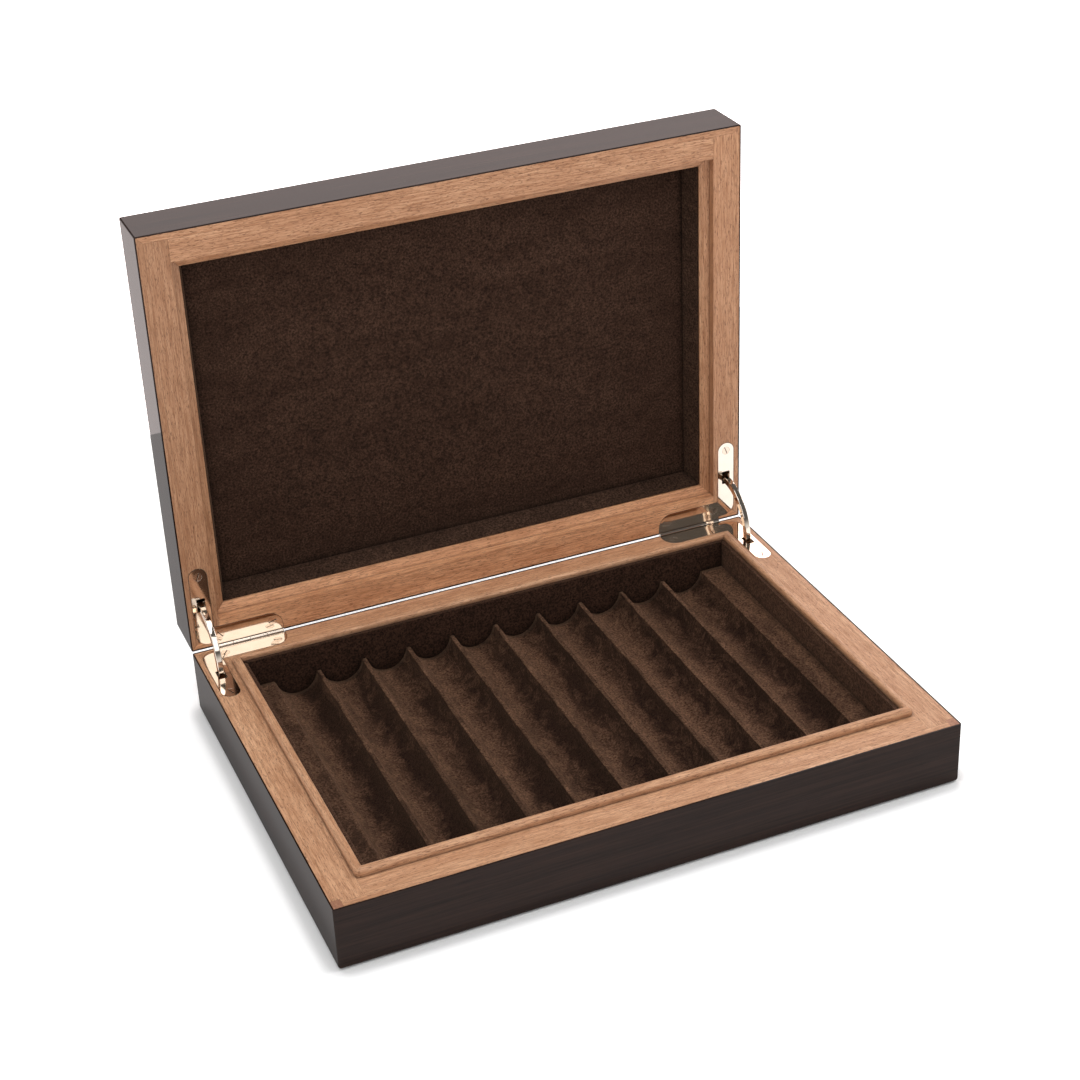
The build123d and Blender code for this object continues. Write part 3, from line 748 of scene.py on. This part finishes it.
# ---------------------------------------------------------------- building the studio
def stage_plane(name, low, high, material):
    """A flat stage piece on the ground, between two corners."""
    mesh = bpy.data.meshes.new(name)
    corners = [(low[0], low[1], 0), (high[0], low[1], 0), (high[0], high[1], 0), (low[0], high[1], 0)]
    mesh.from_pydata(corners, [], [(0, 1, 2, 3)])
    plane = bpy.data.objects.new(name, mesh)
    bpy.context.scene.collection.objects.link(plane)
    mesh.materials.append(material)


def make_surroundings():
    """A world that is pale near the horizon and darker overhead."""
    world = bpy.data.worlds.new("white_studio")
    world.use_nodes = True
    tree = world.node_tree
    background = tree.nodes["Background"]
    background.inputs["Color"].default_value = WHITE + (1.0,)
    direction = tree.nodes.new("ShaderNodeTexCoord").outputs["Generated"]
    height = tree.nodes.new("ShaderNodeSeparateXYZ")
    tree.links.new(direction, height.inputs["Vector"])
    level = tree.nodes.new("ShaderNodeMapRange")
    level.interpolation_type = "SMOOTHSTEP"
    level.inputs["From Min"].default_value = 0.0
    level.inputs["From Max"].default_value = HORIZON_BAND
    level.inputs["To Min"].default_value = HORIZON_LEVEL
    level.inputs["To Max"].default_value = SKY_LEVEL
    tree.links.new(height.outputs["Z"], level.inputs["Value"])
    tree.links.new(level.outputs["Result"], background.inputs["Strength"])
    bpy.context.scene.world = world


def area_light(name, place, target, size, power, colour):
    """A soft rectangular light aimed at a point."""
    data = bpy.data.lights.new(name, "AREA")
    data.shape = "RECTANGLE"
    data.size, data.size_y = size
    data.energy = power
    data.color = colour
    light = bpy.data.objects.new(name, data)
    bpy.context.scene.collection.objects.link(light)
    aim = (Vector(target) - Vector(place)).to_track_quat("-Z", "Y")
    light.matrix_world = Matrix.Translation(place) @ aim.to_matrix().to_4x4()


def make_studio():
    """Pale floor, bright backdrop, pale surroundings and soft lights."""
    half = FLOOR_SIZE / 2
    stage_plane("floor", (-half, -half), (half, BACKDROP_EDGE_Y), floor_material())
    stage_plane("backdrop", (-half, BACKDROP_EDGE_Y), (half, half), backdrop_material())
    make_surroundings()
    for softbox in SOFTBOXES:
        area_light(*softbox)


def make_camera():
    """The photograph's camera."""
    data = bpy.data.cameras.new("camera")
    data.sensor_fit = "HORIZONTAL"
    data.sensor_width = SENSOR_MM
    data.lens = LENS_MM
    data.clip_start = CLIP_NEAR
    data.clip_end = CLIP_FAR
    camera = bpy.data.objects.new("camera", data)
    bpy.context.scene.collection.objects.link(camera)
    right = Vector(CAMERA_RIGHT).normalized()
    back = right.cross(Vector(CAMERA_UP)).normalized()
    up = back.cross(right)
    turn = Matrix((right, up, back)).transposed().to_4x4()
    camera.matrix_world = Matrix.Translation(CAMERA_PLACE) @ turn
    bpy.context.scene.camera = camera


def make_look():
    """Plain display transform, so that the white floor stays white."""
    bpy.context.scene.view_settings.view_transform = "Standard"
    bpy.context.scene.view_settings.look = "None"


# ---------------------------------------------------------------- materials that pieces share
VENEERS = {axis: veneer_material(axis) for axis in "XYZ"}
BOARD = board_material()
# the tray suede's lit side and rise paint light and shade onto its slopes and across the tray
TRAY_SUEDE = suede_material(
    "tray_suede", "Y", dark=linear(32, 19, 13), light=linear(94, 68, 52),
    contrast=0.75, painted_lit_side=(1.0, 0.0, 0.0), painted_light_drift=(1.2, 1.6, 0.0),
)
LINING_SUEDE = suede_material(
    "lining_suede", "X", dark=linear(42, 26, 19), light=linear(64, 43, 33), contrast=0.6,
)
# a lighter copy of the lining suede, as painted light on the side linings
SIDE_LINING_SUEDE_PAINTED_LIGHT = suede_material(
    "side_lining_suede_painted_light", "Y", dark=linear(60, 40, 31), light=linear(88, 64, 50), contrast=0.6,
)
BEVEL_SUEDE = suede_material(
    "bevel_suede", "X", dark=linear(42, 28, 21), light=linear(70, 51, 40), contrast=0.6,
)
LID_SUEDE = suede_material(
    "lid_suede", "X", dark=linear(45, 29, 21), light=linear(64, 45, 35), contrast=0.8,
)
FELT = suede_material("base_felt", "X", dark=linear(44, 38, 35), light=linear(66, 58, 52))

make_look()
make_camera()
make_studio()
dress_case()
dress_hinges()
make_suede()
